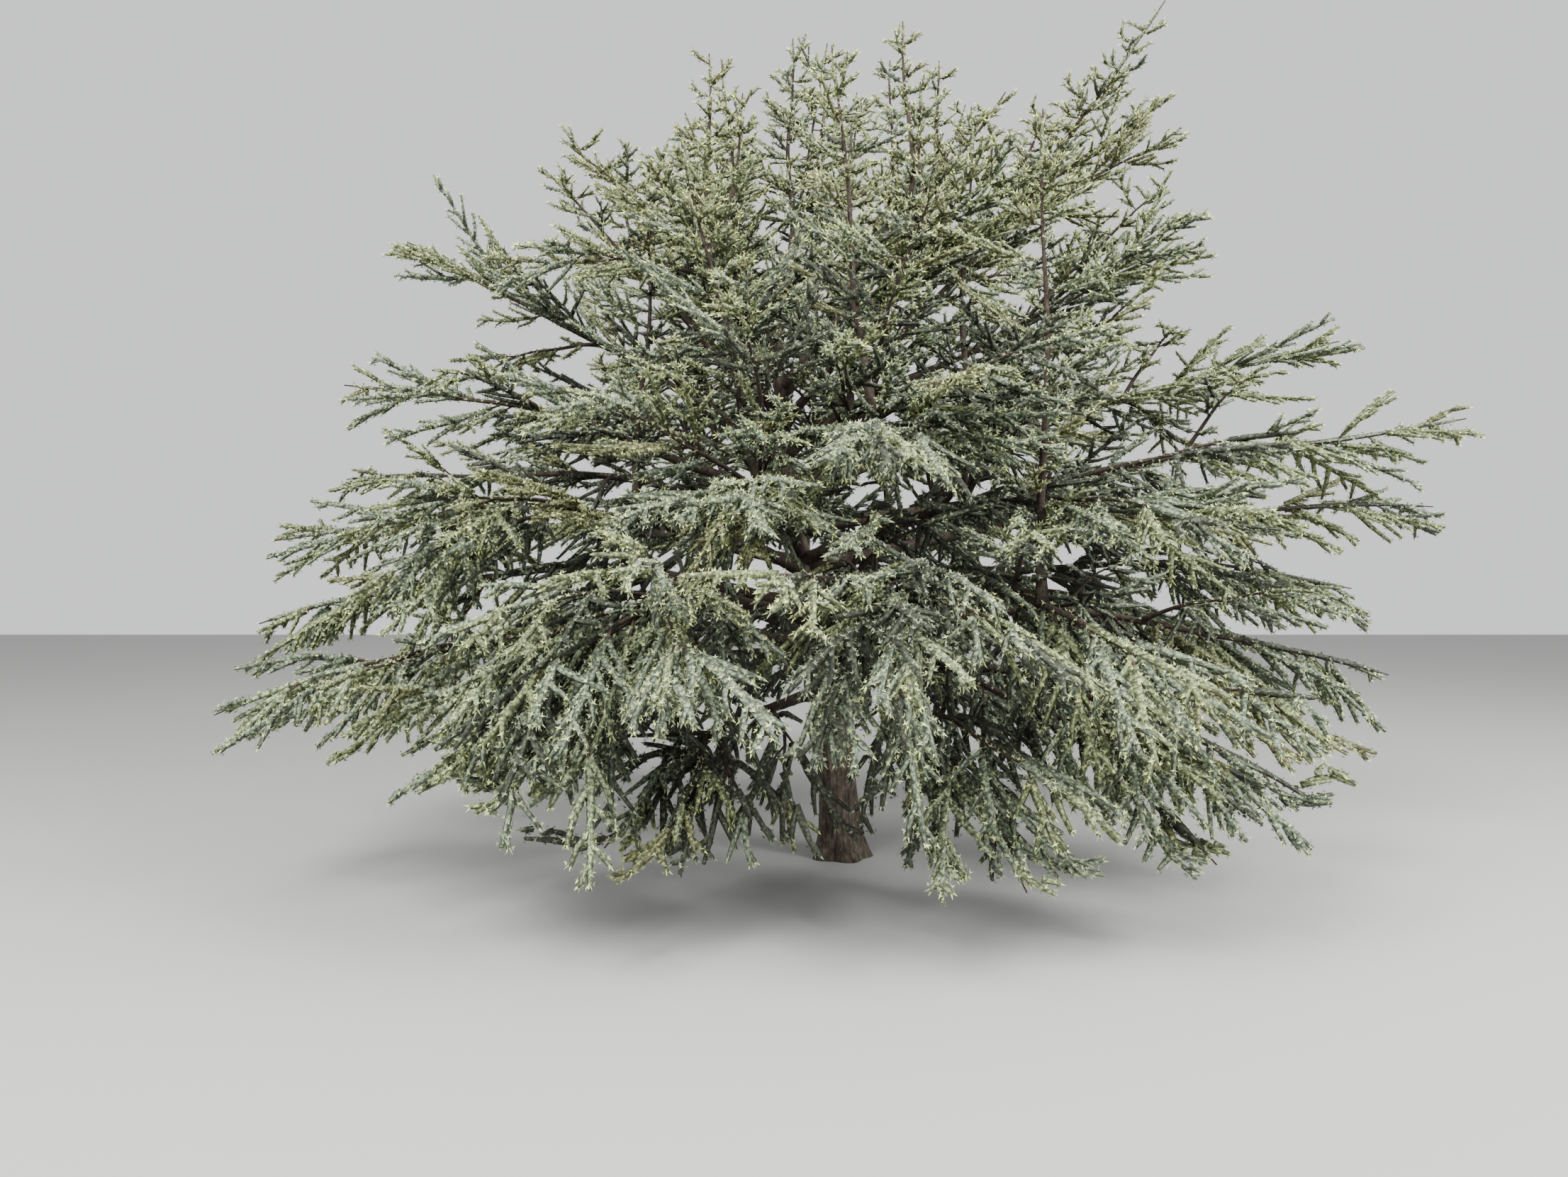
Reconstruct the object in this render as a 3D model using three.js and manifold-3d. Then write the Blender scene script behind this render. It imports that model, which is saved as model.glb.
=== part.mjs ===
// A blue Atlas cedar in a garden: one short leaning trunk, the boughs that show below and
// through the foliage, and the sprays of foliage that they carry. Millimetres, +Z up.
// The origin is the middle of the flat cut at ground level, and -Y faces the viewer.
import * as THREE from "three";
import { mergeVertices } from "three/addons/utils/BufferGeometryUtils.js";
import Module from "manifold-3d";

const wasm = await Module();
wasm.setup();

// Trunk.
const TRUNK_HEIGHT = 4620;
const TRUNK_RADIUS = 132;
const TRUNK_TIP_RADIUS = 9;
const TRUNK_TAPER = 1.65;
const FLARE = 46;
const FLARE_HEIGHT = 105;
const ROOT_LOBES = 5;
const ROOT_LOBE_DEPTH = 0.42;
const LEAN = 370;
const LEAN_HEIGHT = 3000;
const LEAN_BACK = 280;
const TRUNK_SIDES = 12;
const TRUNK_RINGS = 11;
const RING_CROWDING = 1.7;

// Boughs.
const BOUGH_SIDES = 6;
const BOUGH_RINGS = 4;
const BOUGH_END_SHARE = 0.52;
const BOUGH_INTO_FOLIAGE = 0.05;
const BOUGH_END_GROWTH = 1e-4;

// Foliage.
const PLUME_SIDES = 8;
const PLUME_RINGS = 7;
const PLUME_PEAK = 1.1;
const PLUME_FULLNESS = 0.65;
const THIN_SHARE = 0.42;
const TOP_SHARE = 0.4;
const RAGGED = 0.17;
const RAGGED_ALONG = 19;
const RAGGED_SIDE_SHIFT = 1.7;
const RAGGED_TWIST = 7;
const SIDE_SAG = 0.34;
const FOLIAGE_END_GROWTH = 2e-4;

// Clearance between pieces that meet.
const GAP = 0.5;
const FOLIAGE_GAP = 4;

const BARK_COLOUR = "#4a4138";
const BOUGH_COLOUR = "#5a4c44";
const FOLIAGE_COLOURS = ["#7f8d80", "#8c9a8a", "#73836f", "#98a588"];

// The limbs, by tier from the ground up. "leaves" is the height at which a limb leaves the
// trunk; "bearing" is the way it points, in degrees from +X towards +Y; "reach" and "tip" are how
// far out and how high its tip is; "rise" is how far it arches over a straight line; "width" and
// "hang" are the half width and the depth of its foliage; "bare" is the share of it that is bare
// wood, 0 where foliage hides all of it; "wood" is the bough's radius at the trunk.
const SKIRT_LIMBS = [
  { name: "front_left_skirt", leaves: 960, bearing: 236, reach: 2020, tip: 460, rise: 190, width: 470,
    hang: 230, bare: 0.36, wood: 40 },
  { name: "front_skirt", leaves: 1120, bearing: 287, reach: 2170, tip: 380, rise: 330, width: 520,
    hang: 300, bare: 0.36, wood: 38 },
  { name: "front_right_skirt", leaves: 1180, bearing: 313, reach: 2290, tip: 385, rise: 330, width: 500,
    hang: 300, bare: 0.34, wood: 38 },
  { name: "right_skirt", leaves: 1050, bearing: 341, reach: 2570, tip: 480, rise: 300, width: 560,
    hang: 280, bare: 0, wood: 40 },
  { name: "left_skirt", leaves: 1150, bearing: 217, reach: 2150, tip: 640, rise: 300, width: 560,
    hang: 280, bare: 0, wood: 38 },
  { name: "back_right_skirt", leaves: 1060, bearing: 42, reach: 2500, tip: 470, rise: 300, width: 760,
    hang: 280, bare: 0, wood: 38 },
  { name: "back_left_skirt", leaves: 1120, bearing: 128, reach: 2450, tip: 480, rise: 300, width: 760,
    hang: 280, bare: 0, wood: 38 },
];
const LOW_LIMBS = [
  { name: "left_low", leaves: 1250, bearing: 197, reach: 3370, tip: 960, rise: 260, width: 560,
    hang: 360, bare: 0.32, wood: 46 },
  { name: "left_lower_middle", leaves: 1480, bearing: 186, reach: 3330, tip: 1400, rise: 260, width: 500,
    hang: 330, bare: 0, wood: 42 },
  { name: "front_low", leaves: 1500, bearing: 273, reach: 2680, tip: 1270, rise: 240, width: 500,
    hang: 430, bare: 0.34, wood: 40 },
  { name: "front_right_low", leaves: 1420, bearing: 298, reach: 2720, tip: 1200, rise: 260, width: 520,
    hang: 430, bare: 0.36, wood: 42 },
  { name: "right_low", leaves: 1300, bearing: 346, reach: 2960, tip: 1140, rise: 220, width: 540,
    hang: 360, bare: 0.32, wood: 44 },
  { name: "back_right_low", leaves: 1380, bearing: 26, reach: 3320, tip: 1120, rise: 300, width: 760,
    hang: 330, bare: 0, wood: 44 },
  { name: "back_low", leaves: 1500, bearing: 86, reach: 3200, tip: 1180, rise: 300, width: 860,
    hang: 380, bare: 0, wood: 44 },
  { name: "back_left_low", leaves: 1340, bearing: 150, reach: 3330, tip: 1150, rise: 300, width: 760,
    hang: 330, bare: 0, wood: 44 },
  { name: "front_left_low", leaves: 1380, bearing: 237, reach: 2560, tip: 1240, rise: 240, width: 540,
    hang: 420, bare: 0, wood: 42 },
];
const MIDDLE_LIMBS = [
  { name: "left_middle", leaves: 1750, bearing: 179, reach: 3420, tip: 1890, rise: 150, width: 500,
    hang: 330, bare: 0.3, wood: 40 },
  { name: "left_front_middle", leaves: 1700, bearing: 214, reach: 2620, tip: 1900, rise: 190, width: 500,
    hang: 360, bare: 0, wood: 38 },
  { name: "front_left_middle", leaves: 1800, bearing: 255, reach: 2150, tip: 1960, rise: 190, width: 480,
    hang: 360, bare: 0, wood: 36 },
  { name: "front_right_middle", leaves: 1760, bearing: 309, reach: 2420, tip: 1860, rise: 210, width: 520,
    hang: 400, bare: 0, wood: 38 },
  { name: "right_middle", leaves: 1720, bearing: 358, reach: 3480, tip: 2080, rise: 120, width: 480,
    hang: 330, bare: 0.3, wood: 42 },
  { name: "right_back_middle", leaves: 1600, bearing: 10, reach: 3440, tip: 1600, rise: 160, width: 500,
    hang: 330, bare: 0, wood: 40 },
  { name: "back_middle", leaves: 1900, bearing: 62, reach: 3080, tip: 2050, rise: 200, width: 860,
    hang: 400, bare: 0, wood: 38 },
  { name: "back_left_middle", leaves: 1850, bearing: 122, reach: 3080, tip: 2050, rise: 200, width: 860,
    hang: 400, bare: 0, wood: 38 },
];
const UPPER_LIMBS = [
  { name: "left_upper_middle", leaves: 2050, bearing: 172, reach: 3180, tip: 2300, rise: 120, width: 460,
    hang: 320, bare: 0, wood: 34 },
  { name: "left_upper", leaves: 2100, bearing: 195, reach: 2770, tip: 2680, rise: 130, width: 430,
    hang: 290, bare: 0.3, wood: 36 },
  { name: "front_upper", leaves: 2050, bearing: 277, reach: 2030, tip: 2260, rise: 190, width: 520,
    hang: 380, bare: 0, wood: 34 },
  { name: "right_long", leaves: 1950, bearing: 352, reach: 3470, tip: 2540, rise: 20, width: 420,
    hang: 260, bare: 0.32, wood: 40 },
  { name: "right_upper", leaves: 2200, bearing: 3, reach: 3080, tip: 3120, rise: 20, width: 480,
    hang: 300, bare: 0.3, wood: 36 },
  { name: "back_right_upper", leaves: 2250, bearing: 42, reach: 2850, tip: 2780, rise: 120, width: 780,
    hang: 380, bare: 0, wood: 34 },
  { name: "back_left_upper", leaves: 2300, bearing: 140, reach: 2780, tip: 2850, rise: 120, width: 780,
    hang: 380, bare: 0, wood: 34 },
];
const TOP_LIMBS = [
  { name: "left_high", leaves: 2350, bearing: 186, reach: 2520, tip: 3590, rise: 60, width: 450,
    hang: 330, bare: 0.28, wood: 32 },
  { name: "left_top", leaves: 2500, bearing: 177, reach: 1800, tip: 4150, rise: 40, width: 480,
    hang: 380, bare: 0.3, wood: 32 },
  { name: "front_left_high", leaves: 2500, bearing: 236, reach: 1620, tip: 3500, rise: 90, width: 560,
    hang: 360, bare: 0, wood: 30 },
  { name: "front_right_high", leaves: 2550, bearing: 299, reach: 1480, tip: 3620, rise: 90, width: 560,
    hang: 360, bare: 0, wood: 30 },
  { name: "right_high", leaves: 2450, bearing: 346, reach: 1990, tip: 3520, rise: 30, width: 460,
    hang: 340, bare: 0.3, wood: 30 },
  { name: "right_leader", leaves: 2400, bearing: 338, reach: 1830, tip: 4740, rise: -160, width: 320,
    hang: 280, bare: 0.42, wood: 36 },
  { name: "right_top", leaves: 2800, bearing: 344, reach: 970, tip: 4450, rise: -60, width: 430,
    hang: 360, bare: 0.28, wood: 26 },
  { name: "left_top_inner", leaves: 2900, bearing: 187, reach: 930, tip: 4400, rise: 20, width: 500,
    hang: 400, bare: 0, wood: 24 },
  { name: "crown_tip", leaves: 3250, bearing: 180, reach: 80, tip: 4870, rise: 0, width: 600,
    hang: 520, bare: 0, wood: 14 },
  { name: "back_right_high", leaves: 2750, bearing: 52, reach: 1750, tip: 4150, rise: 60, width: 680,
    hang: 420, bare: 0, wood: 28 },
  { name: "back_left_high", leaves: 2800, bearing: 128, reach: 1700, tip: 4200, rise: 60, width: 680,
    hang: 420, bare: 0, wood: 28 },
];
const LIMBS = [...SKIRT_LIMBS, ...LOW_LIMBS, ...MIDDLE_LIMBS, ...UPPER_LIMBS, ...TOP_LIMBS];

// The middle of the trunk at a height: it leans to the left, then comes part of the way back.
function trunkCentre(height) {
  const out = THREE.MathUtils.smoothstep(height, 0, LEAN_HEIGHT);
  const back = THREE.MathUtils.smoothstep(height, LEAN_HEIGHT, TRUNK_HEIGHT);
  return new THREE.Vector3(LEAN_BACK * back - LEAN * out, 0, height);
}

// The trunk's radius at a height and an angle round it, with the root flare at its foot.
function trunkRadius(height, angle) {
  const share = Math.max(0, 1 - height / TRUNK_HEIGHT);
  const taper = TRUNK_TIP_RADIUS + (TRUNK_RADIUS - TRUNK_TIP_RADIUS) * share ** TRUNK_TAPER;
  const lobes = 1 + ROOT_LOBE_DEPTH * Math.cos(ROOT_LOBES * angle);
  return taper + FLARE * lobes * Math.exp(-height / FLARE_HEIGHT);
}

// Moves every vertex of a closed geometry by a function and drops all but its positions.
function reshape(geometry, place) {
  geometry.deleteAttribute("normal");
  geometry.deleteAttribute("uv");
  const positions = geometry.getAttribute("position");
  const vertex = new THREE.Vector3();
  for (let i = 0; i < positions.count; i += 1) {
    vertex.fromBufferAttribute(positions, i);
    const moved = place(vertex);
    positions.setXYZ(i, moved.x, moved.y, moved.z);
  }
  return mergeVertices(geometry, 1e-3);
}

function solidOf(geometry) {
  const mesh = new wasm.Mesh({
    numProp: 3,
    vertProperties: geometry.getAttribute("position").array,
    triVerts: new Uint32Array(geometry.index.array),
  });
  return new wasm.Manifold(mesh);
}

function geometryOf(solid) {
  const mesh = solid.getMesh();
  const geometry = new THREE.BufferGeometry();
  geometry.setAttribute("position", new THREE.BufferAttribute(mesh.vertProperties, 3));
  geometry.setIndex(new THREE.BufferAttribute(mesh.triVerts, 1));
  geometry.computeVertexNormals();
  return geometry;
}

// A tapering column whose rings crowd towards the foot, where the flare is.
function trunkSolid(grow) {
  const column = new THREE.CylinderGeometry(1, 1, 1, TRUNK_SIDES, TRUNK_RINGS);
  const geometry = reshape(column, (v) => {
    const share = v.y + 0.5;
    const height = TRUNK_HEIGHT * share ** RING_CROWDING + grow * Math.floor(share);
    const angle = Math.atan2(-v.z, v.x);
    const spread = Math.hypot(v.x, v.z) > 0.5 ? trunkRadius(height, angle) + grow : 0;
    const centre = trunkCentre(height);
    return centre.add(new THREE.Vector3(spread * Math.cos(angle), spread * Math.sin(angle), 0));
  });
  return solidOf(geometry);
}

// The middle line of a limb: one arch in an upright plane, from the trunk's middle to the tip.
function limbLine(limb) {
  const bearing = THREE.MathUtils.degToRad(limb.bearing);
  const start = trunkCentre(limb.leaves);
  const tip = new THREE.Vector3(limb.reach * Math.cos(bearing), limb.reach * Math.sin(bearing), limb.tip);
  const control = start.clone().lerp(tip, 0.5);
  control.z += 2 * limb.rise;
  return new THREE.QuadraticBezierCurve3(start, control, tip);
}

// The point, the sideways and the upward directions of a limb at a share of its length.
function limbFrame(line, share) {
  const along = line.getTangent(share);
  const chord = new THREE.Vector3().subVectors(line.v2, line.v0);
  const side = new THREE.Vector3(-chord.y, chord.x, 0).normalize();
  const up = new THREE.Vector3().crossVectors(along, side).normalize();
  return { point: line.getPoint(share), side, up };
}

// A bough: a tapering tube from inside the trunk to a little inside its foliage.
function boughSolid(limb, grow) {
  const line = limbLine(limb);
  const column = new THREE.CylinderGeometry(1, 1, 1, BOUGH_SIDES, BOUGH_RINGS);
  const lengthShare = limb.bare + BOUGH_INTO_FOLIAGE;
  const geometry = reshape(column, (v) => {
    const share = lengthShare * (v.y + 0.5);
    const frame = limbFrame(line, share + grow * BOUGH_END_GROWTH * Math.sign(v.y));
    const size = limb.wood * (1 - (1 - BOUGH_END_SHARE) * (v.y + 0.5)) + grow;
    frame.point.addScaledVector(frame.side, size * v.x);
    return frame.point.addScaledVector(frame.up, -size * v.z);
  });
  return solidOf(geometry);
}

// How full a spray of foliage is at a share of its own length: widest about its middle and
// drawn out to a point. One that starts at the trunk starts thin.
function fullness(limb, share) {
  const start = limb.bare > 0 ? 1 : Math.min(1, share / THIN_SHARE);
  return start * Math.max(0, Math.sin(Math.PI * share ** PLUME_PEAK)) ** PLUME_FULLNESS;
}

// The unevenness of a spray's edge, different for each limb and for each side.
function ragged(limb, share, turn) {
  const phase = limb.bearing + limb.leaves;
  const sideShift = RAGGED_SIDE_SHIFT * Math.sign(Math.cos(turn));
  const alongWave = Math.sin(RAGGED_ALONG * share + phase + sideShift);
  const aroundWave = Math.sin(2 * turn + RAGGED_TWIST * share + phase);
  return 1 + RAGGED * (alongWave + aroundWave / 2);
}

// The foliage of a limb: a broad, flat, uneven spray that hangs below the limb and sags at
// its sides, and ends at the limb's tip.
function foliageSolid(limb, grow) {
  const line = limbLine(limb);
  const ball = new THREE.SphereGeometry(1, PLUME_SIDES, PLUME_RINGS);
  const geometry = reshape(ball, (v) => {
    const own = Math.acos(THREE.MathUtils.clamp(v.y, -1, 1)) / Math.PI;
    const turn = Math.atan2(v.z, v.x);
    const ring = Math.hypot(v.x, v.z) > 1e-6 ? 1 : 0;
    const full = ring * fullness(limb, own) * ragged(limb, own, turn);
    const endGrowth = grow * FOLIAGE_END_GROWTH * (own - 0.5);
    const frame = limbFrame(line, limb.bare + (1 - limb.bare) * own + endGrowth);
    const depth = v.z > 0 ? TOP_SHARE * limb.hang : limb.hang;
    const sideways = (limb.width * full + grow * ring) * Math.cos(turn);
    const upwards = (depth * full + grow * ring) * Math.sin(turn);
    frame.point.addScaledVector(frame.side, sideways);
    frame.point.addScaledVector(frame.up, upwards);
    frame.point.z -= (SIDE_SAG * sideways * sideways) / limb.width;
    return frame.point;
  });
  return solidOf(geometry);
}

// The largest body of a solid that cuts have divided.
function largestBody(solid) {
  const bodies = solid.decompose();
  return bodies.reduce((best, body) => (body.volume() > best.volume() ? body : best));
}

function pieceOf(name, solid, colour, roughness) {
  const material = new THREE.MeshStandardMaterial({ color: colour, roughness, metalness: 0 });
  const piece = new THREE.Mesh(geometryOf(solid), material);
  piece.name = name;
  return piece;
}

function trunkPiece() {
  return pieceOf("trunk", trunkSolid(0), BARK_COLOUR, 0.95);
}

// Each bough is cut back from the trunk and from the boughs made before it.
function boughPieces() {
  const taken = [trunkSolid(GAP)];
  const pieces = [];
  for (const limb of LIMBS.filter((one) => one.bare > 0)) {
    const cut = taken.reduce((solid, other) => solid.subtract(other), boughSolid(limb, 0));
    pieces.push(pieceOf("bough_" + limb.name, largestBody(cut), BOUGH_COLOUR, 0.9));
    taken.push(boughSolid(limb, GAP));
  }
  return pieces;
}

// Each spray is cut round the trunk, round every bough and round the sprays made before it.
function foliagePieces() {
  const wood = [trunkSolid(GAP)];
  for (const limb of LIMBS.filter((one) => one.bare > 0)) {
    wood.push(boughSolid(limb, GAP));
  }
  const taken = [];
  return LIMBS.map((limb, index) => {
    const others = [...wood, ...taken];
    const cut = others.reduce((solid, other) => solid.subtract(other), foliageSolid(limb, 0));
    taken.push(foliageSolid(limb, FOLIAGE_GAP));
    const colour = FOLIAGE_COLOURS[index % FOLIAGE_COLOURS.length];
    return pieceOf("foliage_" + limb.name, largestBody(cut), colour, 0.85);
  });
}

const cedar = new THREE.Group();
cedar.add(trunkPiece(), ...boughPieces(), ...foliagePieces());

export default cedar;
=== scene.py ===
import math

import bpy
import numpy as np
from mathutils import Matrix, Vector, noise


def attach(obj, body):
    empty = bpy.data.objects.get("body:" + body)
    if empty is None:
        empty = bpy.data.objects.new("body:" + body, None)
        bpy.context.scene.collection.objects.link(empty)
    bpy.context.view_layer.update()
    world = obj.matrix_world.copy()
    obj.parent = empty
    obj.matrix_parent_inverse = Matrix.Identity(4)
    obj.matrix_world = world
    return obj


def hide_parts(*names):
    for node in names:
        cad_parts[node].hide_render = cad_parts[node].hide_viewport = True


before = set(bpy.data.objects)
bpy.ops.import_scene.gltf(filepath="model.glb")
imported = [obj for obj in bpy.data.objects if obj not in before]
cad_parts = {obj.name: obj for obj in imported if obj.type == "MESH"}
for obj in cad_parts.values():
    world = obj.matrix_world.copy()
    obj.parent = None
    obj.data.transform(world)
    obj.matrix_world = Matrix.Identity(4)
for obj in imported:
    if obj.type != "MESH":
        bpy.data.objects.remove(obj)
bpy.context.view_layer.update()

# The studio. A level camera at eye height in front of the tree, with a wide lens, as the
# tree was seen; a plain pale floor at ground level; and soft light like a bright overcast sky,
# a little stronger from the upper left.
EYE_HEIGHT = 1.60
CAMERA_DISTANCE = 6.27
CAMERA_TO_LEFT = 0.34
LENS = 24.0
SENSOR_WIDTH = 36.0
FARTHEST_SEEN = 200.0
FLOOR_SIZE = 60.0
FLOOR_COLOUR = (0.30, 0.30, 0.29, 1.0)
FLOOR_ROUGHNESS = 0.9
SKY_COLOUR = (0.93, 0.94, 0.95, 1.0)
SKY_STRENGTH = 1.05
LIGHT_SIZE = 6.0

lens = bpy.data.cameras.new("camera")
lens.lens = LENS
lens.sensor_width = SENSOR_WIDTH
lens.clip_end = FARTHEST_SEEN
camera = bpy.data.objects.new("camera", lens)
camera.location = (-CAMERA_TO_LEFT, -CAMERA_DISTANCE, EYE_HEIGHT)
camera.rotation_euler = (math.radians(90.0), 0.0, 0.0)
bpy.context.scene.collection.objects.link(camera)
bpy.context.scene.camera = camera

sky = bpy.data.worlds.new("overcast_sky")
sky.use_nodes = True
sky.node_tree.nodes["Background"].inputs["Color"].default_value = SKY_COLOUR
sky.node_tree.nodes["Background"].inputs["Strength"].default_value = SKY_STRENGTH
bpy.context.scene.world = sky


def soft_light(name, place, aim, watts):
    """A large square area light that points from its place to a point on the tree."""
    lamp = bpy.data.lights.new(name, "AREA")
    lamp.shape = "SQUARE"
    lamp.size = LIGHT_SIZE
    lamp.energy = watts
    holder = bpy.data.objects.new(name, lamp)
    holder.location = place
    holder.rotation_euler = (Vector(aim) - Vector(place)).to_track_quat("-Z", "Y").to_euler()
    bpy.context.scene.collection.objects.link(holder)


soft_light("main_light", (-5.0, -9.0, 11.0), (0.0, 0.0, 1.8), 5400.0)
soft_light("fill_light", (9.0, -7.0, 8.0), (0.0, 0.0, 1.6), 4500.0)

floor_mesh = bpy.data.meshes.new("floor")
half = FLOOR_SIZE / 2
floor_mesh.from_pydata(
    [(-half, -half, 0), (half, -half, 0), (half, half, 0), (-half, half, 0)], [], [(0, 1, 2, 3)]
)
floor_paint = bpy.data.materials.new("pale_floor")
floor_paint.use_nodes = True
floor_shader = floor_paint.node_tree.nodes["Principled BSDF"]
floor_shader.inputs["Base Color"].default_value = FLOOR_COLOUR
floor_shader.inputs["Roughness"].default_value = FLOOR_ROUGHNESS
floor_mesh.materials.append(floor_paint)
floor = bpy.data.objects.new("floor", floor_mesh)
bpy.context.scene.collection.objects.link(floor)


# The trunk. One leaning stem that flares into its roots at the ground, with dark grey-brown
# bark that has split into narrow upright plates with lighter edges. It runs up through the
# crown and ends, finger-thin, just under the crown's tip.
TRUNK_HEIGHT = 4.62
TRUNK_RADIUS = 0.132
TRUNK_TIP_RADIUS = 0.009
TRUNK_TAPER = 1.65
FLARE = 0.046
FLARE_HEIGHT = 0.105
ROOT_LOBES = 5
ROOT_LOBE_DEPTH = 0.42
LEAN = 0.37
LEAN_HEIGHT = 3.0
LEAN_BACK = 0.28
TRUNK_SIDES = 72
TRUNK_RINGS = 240
PLATE_DEPTH = 0.0085
PLATE_HEIGHT = 0.16
PLATE_WIDTH = 0.028
PLATE_LEVEL = 0.75
PLATE_SWERVE = 0.35
RING_CROWDING = 1.7
MOSS_SHARE = 0.45
BARK_SHEEN = 0.25
BARK_GRAIN_DEPTH = 0.01
OWN_MAP = "OFBake"


class Field:
    """A socket of a material's node tree: arithmetic on it adds Math nodes."""

    def __init__(self, tree, socket=None):
        self.tree = tree
        self.socket = socket

    def node(self, kind, settings=(), sockets=(), output=0):
        made = self.tree.nodes.new(kind)
        for name, value in dict(settings).items():
            setattr(made, name, value)
        for key, value in dict(sockets).items():
            if isinstance(value, Field):
                self.tree.links.new(value.socket, made.inputs[key])
            else:
                made.inputs[key].default_value = value
        return Field(self.tree, made.outputs[output])

    def calculate(self, operation, first, second):
        return self.node("ShaderNodeMath", {"operation": operation}, {0: first, 1: second})

    def __add__(self, other):
        return self.calculate("ADD", self, other)

    def __radd__(self, other):
        return self.calculate("ADD", other, self)

    def __sub__(self, other):
        return self.calculate("SUBTRACT", self, other)

    def __rsub__(self, other):
        return self.calculate("SUBTRACT", other, self)

    def __mul__(self, other):
        return self.calculate("MULTIPLY", self, other)

    def __rmul__(self, other):
        return self.calculate("MULTIPLY", other, self)

    def noise(self, place, scale, detail, output=0):
        values = {"Vector": place, "Scale": scale, "Detail": detail, "Roughness": 0.6}
        return self.node("ShaderNodeTexNoise", (), values, output)

    def ramp(self, low, high):
        """0 where the field is at or under low, 1 where it is at or over high."""
        return self.node("ShaderNodeMapRange", (), {0: self, 1: low, 2: high})

    def blend(self, share, first, second):
        values = {0: share, 6: first, 7: second}
        return self.node("ShaderNodeMix", {"data_type": "RGBA"}, values, 2)


def bark_material(name, stretch, grain, dark, middle, light, moss, relief):
    """Bark: upright plates and furrows, blotches of lighter grey, and a little green film."""
    material = bpy.data.materials.new(name)
    material.use_nodes = True
    tree = material.node_tree
    shader = tree.nodes["Principled BSDF"]
    bark = Field(tree)
    place = bark.node("ShaderNodeTexCoord", output="Object")
    stretched = bark.node("ShaderNodeMapping", (), {"Vector": place, "Scale": stretch})
    plates = bark.noise(stretched, grain, 6.0)
    blotches = bark.noise(place, grain * 0.22, 3.0)
    film = bark.noise(place, grain * 0.09, 4.0)
    specks = bark.noise(place, grain * 5.0, 2.0)
    ridge = plates.ramp(0.36, 0.66)
    colour = bark.blend(ridge, dark, middle)
    blotch = (blotches * 0.7 + specks * 0.3).ramp(0.46, 0.68)
    colour = bark.blend(blotch * ridge * 0.8, colour, light)
    colour = bark.blend(film.ramp(0.52, 0.74) * MOSS_SHARE, colour, moss)
    tree.links.new(colour.socket, shader.inputs["Base Color"])
    rough = 0.96 - blotch * 0.14
    tree.links.new(rough.socket, shader.inputs["Roughness"])
    shader.inputs["Specular IOR Level"].default_value = BARK_SHEEN
    height = plates * 0.7 + specks * 0.3
    values = {"Height": height, "Strength": relief, "Distance": BARK_GRAIN_DEPTH}
    bump = bark.node("ShaderNodeBump", (), values)
    tree.links.new(bump.socket, shader.inputs["Normal"])
    return material


def make_piece(name, points, corners, starts, materials, slots=None, smooth=False, spots=None):
    """A mesh object from arrays: its points, its faces' corners and where each face starts.
    spots is the place of every corner on the piece's own map, where it has one."""
    mesh = bpy.data.meshes.new(name)
    mesh.vertices.add(len(points))
    mesh.vertices.foreach_set("co", np.ascontiguousarray(points, dtype=np.float32).ravel())
    mesh.loops.add(len(corners))
    mesh.loops.foreach_set("vertex_index", np.ascontiguousarray(corners, dtype=np.int32))
    mesh.polygons.add(len(starts))
    mesh.polygons.foreach_set("loop_start", np.ascontiguousarray(starts, dtype=np.int32))
    for material in materials:
        mesh.materials.append(material)
    if slots is not None:
        mesh.polygons.foreach_set("material_index", np.ascontiguousarray(slots, dtype=np.int32))
    mesh.polygons.foreach_set("use_smooth", np.full(len(starts), smooth, dtype=bool))
    mesh.update(calc_edges=True)
    if spots is not None:
        own_map = mesh.uv_layers.new(name=OWN_MAP)
        own_map.uv.foreach_set("vector", np.ascontiguousarray(spots, dtype=np.float32).ravel())
    piece = bpy.data.objects.new(name, mesh)
    bpy.context.scene.collection.objects.link(piece)
    return piece


def unit(vectors):
    return vectors / np.maximum(np.linalg.norm(vectors, axis=-1, keepdims=True), 1e-9)


def tube_rings(lines, radii, sides):
    """The rings of points round many lines; lines is (tubes, rings, 3), radii (tubes, rings)."""
    along = unit(np.gradient(lines, axis=1))
    mean = unit(lines[:, -1] - lines[:, 0])
    reference = np.where(np.abs(mean[:, 2:3]) < 0.8, [[0.0, 0.0, 1.0]], [[1.0, 0.0, 0.0]])
    first = unit(np.cross(along, reference[:, None, :]))
    second = np.cross(along, first)
    turn = np.arange(sides) * 2 * math.pi / sides
    outward = (
        first[:, :, None, :] * np.cos(turn)[:, None]
        + second[:, :, None, :] * np.sin(turn)[:, None]
    )
    return lines[:, :, None, :] + outward * radii[:, :, None, None], outward


def tube_faces(tubes, rings, sides):
    """The corners and starts of the faces of closed tubes: quads along, a polygon at each end."""
    index = np.arange(rings * sides).reshape(rings, sides)
    near = index[:-1]
    far = index[1:]
    quads = np.stack([near, np.roll(near, -1, 1), np.roll(far, -1, 1), far], axis=-1)
    one = np.concatenate([quads.ravel(), index[0, ::-1], index[-1]])
    sizes = np.concatenate([np.full(quads.size // 4, 4), [sides, sides]])
    corners = (one[None, :] + (np.arange(tubes) * rings * sides)[:, None]).ravel()
    starts = np.concatenate([[0], np.cumsum(np.tile(sizes, tubes))[:-1]])
    return corners, starts


def smoothstep(value, low, high):
    share = np.clip((value - low) / (high - low), 0.0, 1.0)
    return share * share * (3 - 2 * share)


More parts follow.
